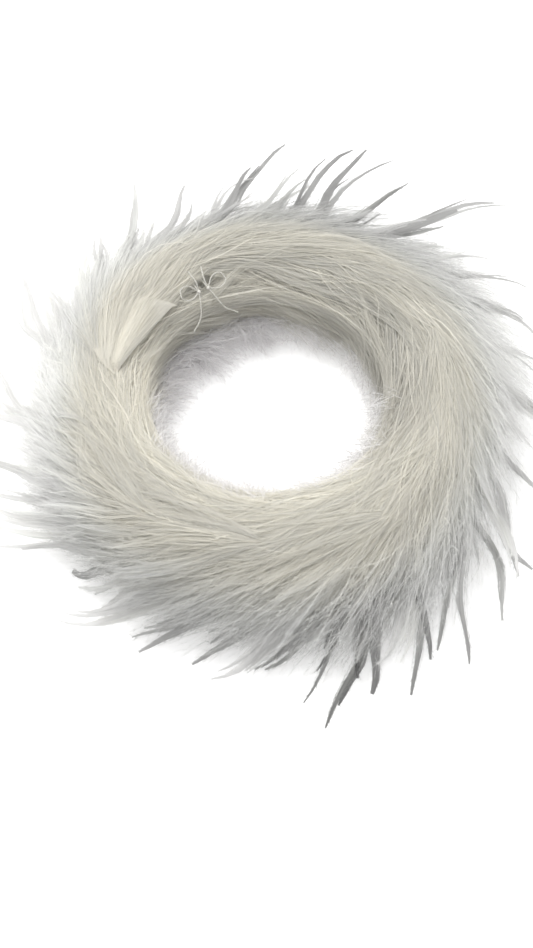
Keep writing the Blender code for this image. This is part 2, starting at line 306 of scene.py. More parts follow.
def parted(path):
    """The share of each path that comes before the gap over the tied ends."""
    away = path - np.array(CLOSURE)
    along = np.clip(away @ GAP_AXIS, 0, None)
    off = np.linalg.norm(away - along[..., None] * GAP_AXIS, axis=-1)
    inside = off < GAP_R
    first = np.where(inside.any(1), inside.argmax(1), path.shape[1] - 1)
    return first / (path.shape[1] - 1)


class Mesh:
    """Strands, vanes and barbules gathered into one piece.

    Each point has a shade, a warmth and a grain: its place across and along its own flue.
    """

    def __init__(self):
        self.verts = []
        self.loops = []
        self.sizes = []
        self.looks = []
        self.grain = []
        self.count = 0

    def add(self, verts, faces, shade, warm, grain):
        verts[:, 2] = np.maximum(verts[:, 2], LOWEST)
        self.loops.append((faces + self.count).ravel())
        self.sizes.append(np.full(len(faces), faces.shape[1]))
        self.verts.append(verts)
        looks = np.empty((len(verts), 2))
        looks[:, 0], looks[:, 1] = shade, warm
        self.looks.append(looks)
        self.grain.append(grain)
        self.count += len(verts)

    def grid(self, points, shade, warm, grain, wrap=False):
        """Sheets of quads. points is (n, k, c, 3); shade and warm are (n, k)."""
        n, k, c, _ = points.shape
        row = np.arange(c if wrap else c - 1)
        quad = np.stack([row, (row + 1) % c, (row + 1) % c + c, row + c], 1)
        base = (np.arange(n) * k * c)[:, None, None, None]
        step = (np.arange(k - 1) * c)[None, :, None, None]
        self.add(
            points.reshape(-1, 3),
            (base + step + quad).reshape(-1, 4),
            np.repeat(shade.ravel(), c),
            np.repeat(warm.ravel(), c),
            grain.reshape(-1, 3),
        )

    def ribbons(self, path, width, roll, shade, warm):
        """Flat tapering strands. path is (n, k, 3); width, shade and warm are (n, k)."""
        n, k, _ = path.shape
        _, side, up = axes(path)
        roll = roll[:, None, None]
        across = (side * np.cos(roll) + up * np.sin(roll)) * (width[..., None] / 2)
        points = np.stack([path - across, path + across], 2)
        grain = np.zeros(points.shape)
        grain[..., 0] = (np.arange(n) * 1.7)[:, None, None]
        grain[..., 1] = (np.linspace(0, 3, k))[None, :, None]
        self.grid(points, shade, warm, grain)

    def spikes(self, root, tip, across, shade, warm):
        """One thin triangle each: barbules."""
        verts = np.stack([root - across, root + across, tip], 1).reshape(-1, 3)
        faces = np.arange(len(root) * 3).reshape(-1, 3)
        grain = np.repeat(np.arange(len(root)) * 1.7, 3)[:, None] * np.array([1.0, 0, 0])
        self.add(verts, faces, np.repeat(shade, 3), np.repeat(warm, 3), grain)

    def make(self, name, mat):
        """The piece as an object, shaded part way between its own normals and the soft mass's."""
        mesh = bpy.data.meshes.new(name)
        verts = np.concatenate(self.verts)
        loops = np.concatenate(self.loops).astype(np.int32)
        sizes = np.concatenate(self.sizes)
        mesh.vertices.add(len(verts))
        mesh.vertices.foreach_set("co", verts.astype(np.float32).ravel())
        mesh.loops.add(len(loops))
        mesh.loops.foreach_set("vertex_index", loops)
        mesh.polygons.add(len(sizes))
        starts = np.concatenate([[0], np.cumsum(sizes)[:-1]]).astype(np.int32)
        mesh.polygons.foreach_set("loop_start", starts)
        mesh.update(calc_edges=True)
        mesh.shade_smooth()
        looks = np.concatenate(self.looks).astype(np.float32)
        for i, key in enumerate(("shade", "warm")):
            layer = mesh.attributes.new(key, "FLOAT", "POINT")
            layer.data.foreach_set("value", looks[:, i].copy())
        layer = mesh.attributes.new("grain", "FLOAT_VECTOR", "POINT")
        layer.data.foreach_set("vector", np.concatenate(self.grain).astype(np.float32).ravel())
        obj = bpy.data.objects.new(name, mesh)
        bpy.context.scene.collection.objects.link(obj)
        mesh.materials.append(mat)
        own = np.empty(3 * len(verts), np.float32)
        mesh.vertex_normals.foreach_get("vector", own)
        own = own.reshape(-1, 3)
        soft = shell_normal(verts)
        # The soft normal is turned to each point's own side, or that side would be shaded dark
        soft = soft * np.where((own * soft).sum(1) < 0, -1, 1)[:, None]
        mesh.normals_split_custom_set_from_vertices(SOFTNESS * soft + (1 - SOFTNESS) * own)
        return obj


def colour_of(path, tone, tips=0.0):
    """(shade, warm) at each point: cream on the body, greyer and darker (painted shade) to the tips."""
    x, y, z = np.moveaxis(path, 2, 0)
    r = np.hypot(x, y)
    outer = smooth((r - around(GREY_FROM, x, y) * MM) / (28 * MM))
    wall = smooth((RING_R + 2 * MM - r) / (20 * MM))
    # Painted shade: a little darker low down, near the table
    low = smooth((16 * MM - z) / (16 * MM))
    t = np.linspace(0, 1, path.shape[1])[None]
    # tone is each flue's own; the darkening of the tips is painted shade
    shade = 0.97 + 0.10 * (tone[:, None] - 0.5) - 0.04 * low - tips * smooth(t * 2 - 1)
    # Painted light and shade round the ring on the fringe and inner wall; the crest partly its own tone
    shade = shade + around(FRINGE_PAINTED_LIGHT_AND_SHADE, x, y) * outer + around(WALL_PAINTED_SHADE, x, y) * wall
    shade = shade + around(CREST_TONE_AND_PAINTED_SHADE, x, y) * (1 - outer) * (1 - wall)
    warm = 0.55 - 0.5 * outer + 0.2 * (tone[:, None] - 0.5)
    return shade, np.clip(warm, 0.05, 0.6)


def arc_places(rng, segment, count):
    """Places spread evenly, with jitter, over a segment's arc."""
    start = CLOSURE_ANGLE - STEP * (segment - 1)
    angle = start - STEP * (np.arange(count) + rng.random(count)) / count
    rng.shuffle(angle)
    return angle


def profile(rng, n, steps, stops, sizes):
    """Widths in millimetres along each strand, scaled a little at random."""
    shape = np.interp(np.linspace(0, 1, steps), stops, sizes)
    return shape[None] * MM * rng.uniform(0.75, 1.25, n)[:, None]


def barbules(rng, mesh, path, off, count, shade, warm, length=(2.0, 5.0), spread=(6, 28)):
    """Fine hairs that leave a flue forwards and sideways. off is half the flue's width."""
    n, k, _ = path.shape
    along, side, up = axes(path)
    row = rng.integers(0, n, count)
    at = (0.12 + 0.88 * rng.random(count)) * (k - 1.001)
    low = at.astype(int)
    f = (at - low)[:, None]
    hand = np.where(rng.random(count) < 0.5, -1.0, 1.0)[:, None]
    root = path[row, low] * (1 - f) + path[row, low + 1] * f
    root = root + side[row, low] * hand * (off[row, low] * rng.uniform(0.5, 0.97, count))[:, None]
    a = np.radians(rng.uniform(*spread, count))[:, None]
    b = rng.normal(0, 0.5, count)[:, None]
    sideways = side[row, low] * hand * np.cos(b) + up[row, low] * np.sin(b)
    step = along[row, low] * np.cos(a) + sideways * np.sin(a)
    tip = root + step * (rng.uniform(*length, count) * MM)[:, None]
    tip[:, 2] = np.clip(tip[:, 2], FLOOR_GAP, under_fold(tip[:, 0], tip[:, 1]))
    across = along[row, low] * (rng.uniform(0.10, 0.22, count) * MM)[:, None]
    lighter = rng.uniform(0.0, 0.08, count)
    mesh.spikes(root, tip, across, shade[row, low] + lighter, warm[row, low])


def vanes(rng, mesh, spine, width, shade, warm, columns=5, arch=0.16):
    """Broad soft strips: the barbules of a flue, or of a few, matted together."""
    n, k, _ = spine.shape
    _, side, up = axes(spine)
    u = np.linspace(-1, 1, columns)
    ragged = 1 + 0.16 * rng.normal(0, 1, (n, k, columns))
    roll = rng.normal(0, 0.22, n)[:, None, None]
    across = side * np.cos(roll) + up * np.sin(roll)
    lift = up * np.cos(roll) - side * np.sin(roll)
    half = width[..., None] / 2
    points = (
        spine[:, :, None]
        + across[:, :, None] * (half * u * ragged)[..., None]
        + lift[:, :, None] * (2 * half * arch * (1 - u**2))[..., None]
    )
    points[..., 2] = np.clip(points[..., 2], FLOOR_GAP, under_fold(points[..., 0], points[..., 1]))
    length = np.linalg.norm(np.diff(spine, axis=1, prepend=spine[:, :1]), axis=2).cumsum(1)
    grain = np.zeros(points.shape)
    grain[..., 0] = (half * u) / MM + (np.arange(n) * 13.1)[:, None, None]
    grain[..., 1] = length[..., None] / MM * 0.05
    mesh.grid(points, shade, warm, grain)


def sheaves(
    rng,
    mesh,
    spine,
    width,
    strands,
    hairs,
    tips=0.0,
    strand_width=0.24,
    splay=1.25,
    stain=0.0,
    sink=0.0,
    hair=(2.0, 5.0),
    hair_spread=(6, 28),
    lighter=0.0,
):
    """A vane along each spine, fine strands lying on it and barbules at its edges."""
    n, k, _ = spine.shape
    if n == 0:
        return
    spine = settle(spine)
    # tips: how far each flue's tip is darkened, as painted shade
    tips = np.broadcast_to(np.asarray(tips, float), (n,))
    tone = np.clip(rng.normal(0.5, 0.3, n), 0, 1)
    t = np.linspace(0, 1, k)
    shade, warm = colour_of(spine, tone, tips[:, None])
    # lighter is painted light where a caller gives it; stain is the straw colour of the roots
    shade, warm = shade + lighter, warm + stain * smooth(1 - t / 0.14)
    # Painted shade: the vanes under the strands are made a little darker
    vanes(rng, mesh, spine - axes(spine)[2] * sink, width, shade - 0.03, warm)
    barbules(rng, mesh, spine, width / 2, n * hairs, shade, warm, hair, hair_spread)
    which = np.repeat(np.arange(n), strands)
    m = len(which)
    _, side, up = axes(spine)
    u = rng.uniform(-1, 1, m)[:, None] * splay + rng.normal(0, 0.3, m)[:, None] * t
    high = (rng.uniform(0.15, 1.4, m) * MM)[:, None] + 0.16 * width[which] * np.clip(1 - u**2, 0, 1)
    sideways = side[which] * (u * width[which] / 2)[..., None]
    path = spine[which] + sideways + up[which] * high[..., None]
    path = settle(cut_back(path + wander(rng, m, k, 0.85 * MM), rng.uniform(0.4, 1.0, m) ** 0.5))
    own = np.clip(tone[which] + rng.normal(0, 0.4, m), -0.3, 1.3)
    shade, warm = colour_of(path, own, tips[which][:, None])
    shade, warm = shade + lighter, warm + stain * smooth(1 - t / 0.14)
    widths = profile(rng, m, k, [0, 0.15, 0.7, 1], [0.5, 1, 0.9, 0.3]) * strand_width
    mesh.ribbons(path, widths, rng.normal(0, 0.35, m), shade, warm)


def part_over_closure(path, width):
    """Drops what would cover the tied ends, and stops short what runs up to them."""
    share = parted(path)
    keep = share > 0.25
    return cut_back(path[keep], share[keep]), width[keep]


def body(rng, mesh, segment, count, strands):
    """The broad sheaves that make the body."""
    steps = 16
    angle = arc_places(rng, segment, count)
    lean = np.radians(rng.uniform(-30, 28, count))
    layer = rng.uniform(0.2, 1.0, count) ** 0.6
    length = np.full(count, 130 * MM)
    spine = flow(rng, angle, lean, layer, length, steps, bend=(-6.5, 2.8), sway=0.26)
    spine = stop_at(spine, rng.uniform(0.76, 0.97, count))
    width = profile(rng, count, steps, [0, 0.2, 0.4, 0.7, 1], [0.5, 1.2, 4.6, 3.4, 0.4])
    spine, width = part_over_closure(spine, width)
    sheaves(rng, mesh, spine, width, strands, 120, strand_width=0.21, splay=1.7, sink=1.2 * MM)


def strays(rng, mesh, segment, count):
    """Single pale flues that lie loose over the rest and wave across it; part of their paleness is
    painted light.
    """
    steps = 14
    angle = arc_places(rng, segment, count)
    lean = np.radians(rng.uniform(-28, 20, count))
    layer = rng.uniform(0.85, 1.06, count)
    length = np.full(count, 125 * MM)
    path = flow(rng, angle, lean, layer, length, steps, bend=(-7, 3), sway=0.28)
    path = stop_at(path, rng.uniform(0.75, 1.0, count))
    path = settle(path + wander(rng, count, steps, 1.4 * MM))
    width = profile(rng, count, steps, [0, 0.2, 0.7, 1], [0.2, 0.34, 0.28, 0.08])
    path, width = part_over_closure(path, width)
    count = len(path)
    shade, warm = colour_of(path, rng.uniform(0.6, 1.1, count))
    # Painted light: the loose flues on top are made lighter by 0.13
    shade = shade + 0.13
    mesh.ribbons(path, width, rng.normal(0, 0.4, count), shade, warm)
    barbules(rng, mesh, path, width / 2, count * 40, shade - 0.05, warm, (1.2, 3.2), (25, 55))


def down(rng, mesh, segment, count, inward, highest):
    """Tangled short down on the inner side of the ring, hanging into the middle."""
    angle = arc_places(rng, segment, count)
    z = rng.uniform(2, highest, count) * MM
    round_wall = np.sqrt(1 - np.clip((z - CORD_Z) / BODY_R, 0, 0.9) ** 2)
    r = RING_R - BODY_R * rng.uniform(0.8, 1.15, count) * round_wall
    x, y = spot(angle, r)
    heading = angle + math.pi + rng.normal(0.9, 0.7, count)
    steps = 4
    clumped = 0.72 + 0.2 * np.sin(11 * angle + 1) + 0.12 * np.sin(29 * angle)
    s = (rng.uniform(5, inward * 1.15, count) * clumped * MM)[:, None] * np.linspace(0, 1, steps)
    turn = heading[:, None] + rng.normal(0, 40, count)[:, None] * s
    ds = np.diff(s, axis=1, prepend=0)
    tilt = rng.normal(-0.1, 0.25, count)[:, None]
    path = np.stack(
        [
            x[:, None] + np.cumsum(np.cos(turn) * ds, axis=1),
            y[:, None] + np.cumsum(np.sin(turn) * ds, axis=1),
            z[:, None] + tilt * s,
        ],
        2,
    )
    path = settle(path)
    # Painted light: the down under the ring is made lighter than the body, against the shade there
    shade = np.full(path.shape[:2], 1.06) + rng.normal(0, 0.05, (count, 1))
    width = profile(rng, count, steps, [0, 0.4, 1], [0.2, 0.24, 0.1])
    mesh.ribbons(path, width, rng.normal(0, 0.8, count), shade, np.zeros(shade.shape))


def inner_wall(rng, mesh, segment, count):
    """Long wavy flues that cling to the inside of the ring, with gaps between them."""
    angle = arc_places(rng, segment, count)
    lean = np.radians(rng.uniform(-40, -26, count))
    layer = rng.uniform(0.08, 0.95, count)
    length = rng.uniform(50, 95, count) * MM
    spine = flow(rng, angle, lean, layer, length, 13, bend=(-5, 2), sway=0.34)
    width = profile(rng, count, 13, [0, 0.3, 0.8, 1], [0.8, 2.2, 1.5, 0.5])
    spine, width = part_over_closure(spine, width)
    # These flues are made lighter (0.12): painted light that lifts them over the shaded wall
    sheaves(rng, mesh, spine, width, 9, 24, strand_width=0.36, splay=2.2, lighter=0.12)


def haze(rng, mesh, segment, count, strands):
    """Loose outer flues without vanes, fine enough to see through."""
    steps = 14
    angle = np.repeat(arc_places(rng, segment, count), strands)
    m = len(angle)
    lean = np.radians(np.repeat(rng.uniform(-10, 40, count), strands) + rng.normal(0, 5, m))
    layer = np.repeat(rng.uniform(0.05, 0.95, count), strands) + rng.normal(0, 0.08, m)
    layer = np.clip(layer, 0.02, 1)
    length = np.full(m, 138 * MM)
    path = flow(rng, angle, lean, layer, length, steps, bend=(-4.5, 1.5), sway=0.18)
    ends = np.repeat(rng.uniform(0.78, 1.1, count), strands) - np.abs(rng.normal(0, 0.06, m))
    path = stop_at(path, ends)
    path = settle(path + wander(rng, m, steps, 1.4 * MM))
    shade, warm = colour_of(path, rng.random(m))
    widths = profile(rng, m, steps, [0, 0.3, 0.7, 1], [0.12, 0.22, 0.2, 0.1])
    mesh.ribbons(path, widths, rng.normal(0, 0.6, m), shade, warm)
    barbules(rng, mesh, path, widths / 2, m * 16, shade, warm, (2.0, 6.0), (10, 45))


# Long locks: tip angle and radius (mm), tip height (mm), lean of the tip outwards, how far back
# round the ring the root is (degrees), width, how much darker the tip is (painted shade, darkest on
# the near side), and whether it forks
LONG_LOCKS = (
    (87, 158, 38, 42, 48, 1, 0.34, 1),
    (93, 138, 38, 50, 42, 0.8, 0.34, 0),
    (73, 160, 36, 50, 50, 0.9, 0.34, 1),
    (66, 162, 36, 52, 46, 1.3, 0.34, 1),
    (60, 150, 34, 62, 40, 0.8, 0.34, 0),
    (43, 176, 30, 46, 48, 1.1, 0.34, 1),
    (49, 150, 34, 48, 42, 1.3, 0.34, 0),
    (27, 150, 26, 18, 44, 0.9, 0.34, 1),
    (17, 142, 20, 14, 40, 0.9, 0.26, 0),
    (5, 140, 18, 30, 40, 0.9, 0.26, 1),
    (-9, 148, 15, 32, 44, 0.8, 0.26, 0),
    (-22, 140, 12, 40, 44, 0.9, 0.18, 0),
    (-37, 146, 10, 46, 46, 1, 0.42, 1),
    (-46, 152, 10, 44, 48, 0.8, 0.44, 0),
    (-57, 154, 8, 46, 48, 1, 0.5, 1),
    (-66, 158, 8, 62, 48, 1.2, 0.54, 1),
    (-73, 150, 8, 52, 44, 1.5, 0.58, 1),
    (-81, 163, 7, 60, 50, 1, 0.6, 0),
    (-84, 148, 7, 48, 46, 0.8, 0.56, 0),
    (-92, 134, 8, 26, 42, 0.9, 0.42, 0),
    (-105, 132, 8, 38, 42, 0.8, 0.3, 0),
    (-113, 139, 8, 50, 44, 0.9, 0.26, 1),
    (-118, 130, 9, 36, 42, 0.8, 0.22, 0),
    (-132, 128, 9, 38, 42, 0.9, 0.08, 1),
    # A short wide lock low on the near left, its tip much darker than its neighbours'
    (-136, 125, 8, 14, 34, 1.4, 0.5, 0),
    (-150, 143, 12, 38, 46, 1, 0.14, 1),
    (-161, 142, 14, 46, 46, 0.8, 0.14, 0),
    (-172, 146, 18, 50, 46, 0.8, 0.14, 1),
    (-181, 146, 22, 58, 46, 0.8, 0.14, 0),
    (170, 140, 24, 48, 44, 0.8, 0.14, 0),
    (151, 148, 28, 66, 46, 0.9, 0.14, 1),
    (134, 128, 34, 50, 40, 0.8, 0.14, 0),
    (117, 144, 36, 54, 44, 0.8, 0.14, 1),
    (108, 134, 36, 48, 40, 0.7, 0.14, 0),
)

BANDS = 3  # each lock is one long band, a fork that leaves it and a shorter band beside it


def locks(rng, mesh, rows, strands):
    """Long wet-looking locks that stand out of the body; the forked ones spread more."""
    if not len(rows):
        return
    steps = 18
    # dark: each tip's painted shade
    angle, r, z, lean, back, wide, dark, forks = np.array(rows, float).T
    layer = rng.uniform(0.5, 0.95, len(rows))
    tip, lean, back = np.radians(angle), np.radians(lean), np.radians(back)
    spine = reach_out(rng, tip, r * MM, z * MM, lean, back, layer, steps, 6.0 * MM)
    which = np.repeat(np.arange(len(rows)), BANDS)
    m = len(which)
    kind = np.arange(m) % BANDS
    forked = forks[which] > 0
    t = np.linspace(0, 1, steps)
    _, side, up = axes(spine)
    leave = rng.uniform(0.5, 0.66, m)
    apart = np.clip((t - leave[:, None]) / (1 - leave[:, None]), 0, 1)
    swing = np.where(forked, rng.uniform(10, 20, m), rng.uniform(3, 8, m))
    swing = swing * np.where(rng.random(m) < 0.5, -1, 1)
    curl = apart**1.2 * np.cos(apart * rng.uniform(0, 2.4, m)[:, None])
    drift = rng.normal(0, 1.3, m)[:, None] * smooth(t * 2)
    shift = np.where(kind == 0, 0.25 * swing, swing)[:, None] * curl + drift
    band = spine[which] + side[which] * (shift * MM)[..., None]
    band = band + up[which] * (rng.normal(0, 1, m)[:, None] * smooth(t * 2) * MM)[..., None]
    share = np.choose(kind, [np.ones(m), rng.uniform(0.85, 1.0, m), rng.uniform(0.6, 0.85, m)])
    band = cut_back(band, share)
    stops = [0, 0.3, 0.5, 0.7, 0.92, 1]
    width = profile(rng, m, steps, stops, [0.8, 3.2, 4.4, 3.8, 2.2, 0.9]) * wide[which][:, None]
    width = width * np.choose(kind, [1.1, 0.95, 0.85])[:, None]
    sheaves(
        rng,
        mesh,
        band,
        width,
        strands,
        260,
        tips=dark[which],
        strand_width=0.22,
        splay=1.35,
        hair=(1.2, 3.4),
        hair_spread=(10, 40),
    )


def segment_of(angle):
    """The segment whose arc holds an angle in degrees."""
    return int((math.degrees(CLOSURE_ANGLE) - angle) % 360 // math.degrees(STEP)) + 1


def short_locks(rng, segment, count):
    """Rows like LONG_LOCKS for the smaller points between them."""
    start = math.degrees(CLOSURE_ANGLE - STEP * (segment - 1))
    rows = []
    for _ in range(count):
        back = rng.uniform(34, 46)
        tip = start - rng.uniform(0, math.degrees(STEP)) - back
        tip_z = 22 + 14 * math.sin(math.radians(tip)) + rng.uniform(-8, 6)
        # Painted shade: tips on the near side of the ring are made darker
        shaded = 0.01 + 0.22 * max(0.0, -math.sin(math.radians(tip)))
        tip_r = around(REACH, *spot(math.radians(tip), 1.0)) * rng.uniform(0.9, 1.06)
        wide, forked = rng.uniform(0.5, 0.9), rng.random() < 0.5
        rows.append((tip, tip_r, tip_z, rng.normal(42, 8), back, wide, shaded, forked))
    return rows


# Feathers whose roots lie on the upper face: root angle and radius (mm), least and greatest lean
# outwards, count, length (mm) and width (mm)
ROOT_FANS = (
    (174, 80, 12, 40, 12, 66, 2.2),
    (21, 85, -26, 16, 14, 60, 2.4),
    (-52, 92, -24, 18, 14, 60, 2.4),
    (-90, 88, -22, 18, 16, 64, 2.4),
    (-125, 90, -24, 20, 16, 60, 2.4),
)


def end_fold(rng, mesh):
    """The last feather, folded over into one smooth leaf that narrows to its root."""
    steps, columns = 30, 19
    t = np.linspace(0, 1, steps)[:, None]
    u = np.linspace(0, 1, columns)[None] ** 1.4
    x, y = fold_place(t, u)
    points = np.stack([x, y, fold_height(x, y, t, u)], 2)
    shade = np.full((1, steps), 0.89)
    warm = 0.6 + 0.1 * smooth(1 - t / 0.10).T
    grain = np.zeros((1,) + points.shape)
    grain[..., 0] = u * np.interp(t, FOLD_STOPS, FOLD_WIDTHS) * 1.4
    grain[..., 1] = t * 4
    mesh.grid(points[None, :, ::-1], shade, warm, grain[:, :, ::-1])
    # Fine strands lie along it and run on past its far end
    n = 650
    v = rng.random(n)[:, None] * 1.7
    s = np.linspace(0, 1, 14)[None] * rng.uniform(0.5, 1.5, n)[:, None]
    s = s + rng.uniform(0, 0.2, n)[:, None]
    x, y = fold_place(s, 0.04 + 0.98 * v)
    past = np.maximum(smooth((s - 0.7) / 0.25), smooth((v - 0.3) / 0.4))
    face = fold_height(x, y, np.minimum(s, 0.76), v)
    beyond = top_height(np.hypot(x, y)) + 1.5 * MM
    path = np.stack([x, y, face + (beyond - face) * past + 0.25 * MM], 2) + wander(rng, n, 14, 0.5 * MM)
    width = profile(rng, n, 14, [0, 0.2, 0.7, 1], [0.08, 0.22, 0.22, 0.05])
    path, width = part_over_closure(path, width)
    shade, warm = colour_of(path, rng.uniform(0.6, 1.1, len(path)))
    mesh.ribbons(path, width, rng.normal(0, 0.2, len(path)), shade + 0.03, warm)


def quill_line(segment, steps=16, past=0.25):
    """The centre line of a segment's quill, run on a little past its tip."""
    data = frame["nodes"][f"quill_{segment:02d}"].data
    co = np.empty(len(data.vertices) * 3)
    data.vertices.foreach_get("co", co)
    x, y, z = co.reshape(-1, 3).T
    start = CLOSURE_ANGLE - STEP * (segment - 0.5)
    turn = (start - np.arctan2(y, x) + math.pi) % (2 * math.pi) - math.pi
    at = np.linspace(turn.min(), turn.max() + past * (turn.max() - turn.min()), steps)
    r, high = (np.polyval(np.polyfit(turn, v, 3), at) for v in (np.hypot(x, y), z))
    return np.stack([*spot(start - at, r), high], 1)[None]


def quill_barbs(rng, mesh, segment):
    """The barbs on either side of the quill, which hide most of it."""
    line = quill_line(segment)
    t = np.linspace(0, 1, line.shape[1])
    copies = 5
    spine = np.repeat(line, copies, 0)
    _, side, up = axes(spine)
    spine = spine + side * (rng.normal(0, 2.4, copies)[:, None] * smooth(t * 1.5) * MM)[..., None]
    spine = spine + up * (rng.uniform(0.9, 1.6, copies)[:, None] * MM * np.ones_like(t))[..., None]
    spine = cut_back(spine, rng.uniform(0.72, 1.0, copies))
    width = profile(rng, copies, len(t), [0, 0.4, 0.75, 1], [1.2, 5, 3.2, 0.5])
    sheaves(rng, mesh, spine, width, 22, 300, strand_width=0.2, splay=1.8)


def root_fans(rng, mesh, segment):
    """The fans of ROOT_FANS that grow from this segment."""
    for angle, r, least, most, count, length, width in ROOT_FANS:
        if segment_of(angle) != segment:
            continue
        start = np.full(count, math.radians(angle)) + rng.normal(0, 0.008, count)
        lean = np.radians(np.linspace(least, most, count) + rng.normal(0, 1.5, count))
        lengths = length * MM * rng.uniform(0.6, 1.15, count)
        spine = flow(rng, start, lean, np.ones(count), lengths, 12, (-2.5, 1.5), 0.1, r * MM, 6 * MM)
        run = np.linspace(0, 1, 12)
        spine[..., 2] += (rng.uniform(0.6, 1.6, count) * MM)[:, None] * smooth(run * 4)
        widths = profile(rng, count, 12, [0, 0.12, 0.4, 0.75, 1], [0.25, 0.45, 1, 0.7, 0.1]) * width
        spine, widths = part_over_closure(spine, widths)
        sheaves(
            rng,
            mesh,
            spine,
            widths,
            30,
            60,
            strand_width=0.2,
            splay=2.4,
            stain=0.3,
            sink=0.8 * MM,
        )


def fuzz(rng, mesh, segment, count, steps=4):
    """Short fine hairs over the surface of the body, combed with the flow."""
    angle = arc_places(rng, segment, count)
    round_cord = rng.uniform(-0.3 * math.pi, 1.3 * math.pi, count)
    depth = rng.uniform(0.7, 1.02, count) * BODY_R
    out, up = np.cos(round_cord), np.sin(round_cord)
    r = RING_R + depth * np.maximum(out, 0.86 * out)
    z = np.clip(CORD_Z + depth * up, FLOOR_GAP, np.maximum(top_height(r), FLOOR_GAP))
    comb = 0.16 * np.sin(7 * angle + 2 * round_cord) + 0.1 * np.sin(17 * angle - 5 * round_cord)
    lean = np.radians(4 + 26 * np.clip(out, 0, 1) - 8 * np.clip(-out, 0, 1)) + comb
    heading = angle - math.pi / 2 + lean + rng.normal(0, 0.13, count)
    lift = rng.normal(0.01, 0.08, count)
    s = (rng.uniform(14, 38, count) * MM)[:, None] * np.linspace(0, 1, steps)
    turn = heading[:, None] + rng.normal(-7, 5, count)[:, None] * s
    ds = np.diff(s, axis=1, prepend=0)
    path = np.stack(
        [
            (r * np.cos(angle))[:, None] + np.cumsum(np.cos(turn) * ds, axis=1),
            (r * np.sin(angle))[:, None] + np.cumsum(np.sin(turn) * ds, axis=1),
            z[:, None] + np.sin(lift)[:, None] * s - 3 * s * s,
        ],
        2,
    )
    path = path[parted(path) > 0.99]
    path = settle(path)
    count = len(path)
    shade, warm = colour_of(path, rng.random(count))
    width = profile(rng, count, steps, [0, 0.5, 1], [0.10, 0.17, 0.05])
    mesh.ribbons(path, width, rng.normal(0, 0.3, count), shade, warm)


def core(mesh, segment, columns=16, rows=36):
    """The dense down round the cord, seen only between the flues."""
    start = CLOSURE_ANGLE - STEP * (segment - 1)
    a = (start - STEP * np.linspace(0.01, 0.99, columns))[:, None]
    b = np.linspace(0, 2 * math.pi, rows, endpoint=False)[None]
    filled = CORE_R + (BODY_R - 1.6 * MM - CORE_R) * smooth((np.cos(b - math.radians(62)) + 0.15) / 0.9)
    bump = filled * (1 + 0.02 * np.sin(9 * a + 3 * b) + 0.015 * np.sin(23 * a - 5 * b))
    near = np.abs(a - CLOSURE_ANGLE)
    near = np.minimum(near, 2 * math.pi - near)
    bump = bump * (0.25 + 0.75 * smooth(near / 0.16))
    r = RING_R + bump * np.cos(b)
    z = np.maximum(CORD_Z + bump * np.sin(b), FLOOR_GAP)
    points = np.stack([r * np.cos(a), r * np.sin(a), z], 2)
    points[..., 2] = np.minimum(points[..., 2], under_fold(points[..., 0], points[..., 1]))
    grain = np.stack([b * 3 + 0 * a, a * 20 + 0 * b, 0 * a * b], 2)
    mesh.grid(points[None], np.full((1, columns), 0.95), np.full((1, columns), 0.5), grain, wrap=True)


# The colours that warm runs through, from down to the bare roots
DOWN_GREY = (0.88, 0.87, 0.875, 1)
HAZE_GREY = (0.87, 0.875, 0.86, 1)
CREAM = (0.91, 0.89, 0.82, 1)
STRAW = (0.66, 0.55, 0.36, 1)


def feather_material():
    """Half translucent; its colour comes from each point's warmth, shade and grain."""
    mat = bpy.data.materials.new("flue")
    mat.use_nodes = True
    nodes, links = mat.node_tree.nodes, mat.node_tree.links
    shader = nodes["Principled BSDF"]

    def attribute(name):
        node = nodes.new("ShaderNodeAttribute")
        node.attribute_name = name
        return node

    ramp = nodes.new("ShaderNodeValToRGB")
    for stop, colour in zip(ramp.color_ramp.elements, (DOWN_GREY, STRAW)):
        stop.color = colour
    ramp.color_ramp.elements.new(0.1).color = HAZE_GREY
    ramp.color_ramp.elements.new(0.6).color = CREAM
    links.new(attribute("warm").outputs["Fac"], ramp.inputs["Fac"])
    streak = nodes.new("ShaderNodeTexNoise")
    streak.inputs["Scale"].default_value = 1.6
    streak.inputs["Detail"].default_value = 3
    links.new(attribute("grain").outputs["Vector"], streak.inputs["Vector"])
    patch = nodes.new("ShaderNodeMapRange")
    patch.inputs["From Min"].default_value = 0.3
    patch.inputs["From Max"].default_value = 0.7
    patch.inputs["To Min"].default_value = 0.88
    patch.inputs["To Max"].default_value = 1.02
    links.new(streak.outputs["Fac"], patch.inputs["Value"])
    both = nodes.new("ShaderNodeMath")
    both.operation = "MULTIPLY"
    links.new(attribute("shade").outputs["Fac"], both.inputs[0])
    links.new(patch.outputs["Result"], both.inputs[1])
    scale = nodes.new("ShaderNodeVectorMath")
    scale.operation = "SCALE"
    links.new(ramp.outputs["Color"], scale.inputs[0])
    links.new(both.outputs["Value"], scale.inputs["Scale"])
    links.new(scale.outputs["Vector"], shader.inputs["Base Color"])
    shader.inputs["Roughness"].default_value = 0.8
    shader.inputs["Specular IOR Level"].default_value = 0.1
    through = nodes.new("ShaderNodeBsdfTranslucent")
    links.new(scale.outputs["Vector"], through.inputs["Color"])
    mix = nodes.new("ShaderNodeMixShader")
    mix.inputs["Fac"].default_value = 0.5
    links.new(shader.outputs["BSDF"], mix.inputs[1])
    links.new(through.outputs["BSDF"], mix.inputs[2])
    links.new(mix.outputs["Shader"], nodes["Material Output"].inputs["Surface"])
    return mat


